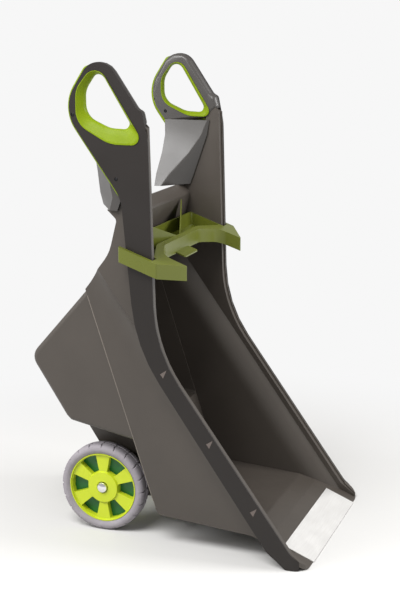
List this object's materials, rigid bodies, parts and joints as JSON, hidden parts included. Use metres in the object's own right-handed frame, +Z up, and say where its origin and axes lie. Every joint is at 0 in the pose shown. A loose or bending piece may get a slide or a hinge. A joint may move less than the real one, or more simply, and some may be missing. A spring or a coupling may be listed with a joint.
{
  "type": "garden cart",
  "caption": "Upright garden cart with a moulded scoop tub, loop handles, two spoked wheels, a clip-on tool tray and a metal scoop edge.",
  "frame": {"origin": "on the ground, in the middle of the cart's footprint", "axes": "+X across the cart to the right, -Y towards the scooping mouth, +Y towards the wheels, +Z up"},
  "size_m": [0.501, 0.6498, 1.0374],
  "materials": {
    "tub_plastic": "grained, satin",
    "frame_plastic": "fine grain, satin",
    "grip_rubber": "soft, satin",
    "tray_plastic": "satin",
    "wheel_plastic": "semi-gloss",
    "tyre_rubber": "matte",
    "aluminium": "mill finish",
    "zinc_steel": "zinc plated",
    "black_steel": "black, satin",
    "black_nylon": "satin",
    "chrome": "bright"
  },
  "bodies": {
    "cart": {"tub_body": "tub_plastic", "side_frame_left": "frame_plastic", "side_frame_right": "frame_plastic", "handle_shell_left": "tub_plastic", "handle_shell_right": "tub_plastic", "grip_core_left": "grip_rubber", "grip_core_right": "grip_rubber", "handle_screw_left_1": "black_steel", "handle_screw_left_2": "black_steel", "handle_screw_left_3": "black_steel", "handle_screw_right_1": "black_steel", "handle_screw_right_2": "black_steel", "handle_screw_right_3": "black_steel", "scoop_edge_plate": "aluminium", "edge_screw_1": "zinc_steel", "edge_screw_2": "zinc_steel", "edge_screw_3": "zinc_steel", "edge_screw_4": "zinc_steel", "axle": "zinc_steel", "axle_clamp_left": "black_nylon", "axle_clamp_right": "black_nylon", "clamp_screw_left_1": "zinc_steel", "clamp_screw_left_2": "zinc_steel", "clamp_screw_right_1": "zinc_steel", "clamp_screw_right_2": "zinc_steel", "axle_spacer_left": "black_nylon", "axle_spacer_right": "black_nylon", "axle_washer_left": "zinc_steel", "axle_washer_right": "zinc_steel", "axle_cap_left": "chrome", "axle_cap_right": "chrome"},
    "wheel_left": {"wheel_rim_left": "wheel_plastic", "tyre_left": "tyre_rubber", "wheel_bush_left": "black_nylon"},
    "wheel_right": {"wheel_rim_right": "wheel_plastic", "tyre_right": "tyre_rubber", "wheel_bush_right": "black_nylon"},
    "tray": {"tool_tray": "tray_plastic"}
  },
  "joints": [
    {"name": "wheel_left_spin", "type": "hinge", "parent": "cart", "child": "wheel_left", "pos_m": [-0.1445, 0.168, 0.099], "axis": [1, 0, 0], "continuous": true},
    {"name": "wheel_right_spin", "type": "hinge", "parent": "cart", "child": "wheel_right", "pos_m": [0.1445, 0.168, 0.099], "axis": [1, 0, 0], "continuous": true},
    {"name": "tray_slide", "type": "slide", "parent": "cart", "child": "tray", "axis": [0, -1, 0], "range_m": [0, 0.1]}
  ]
}
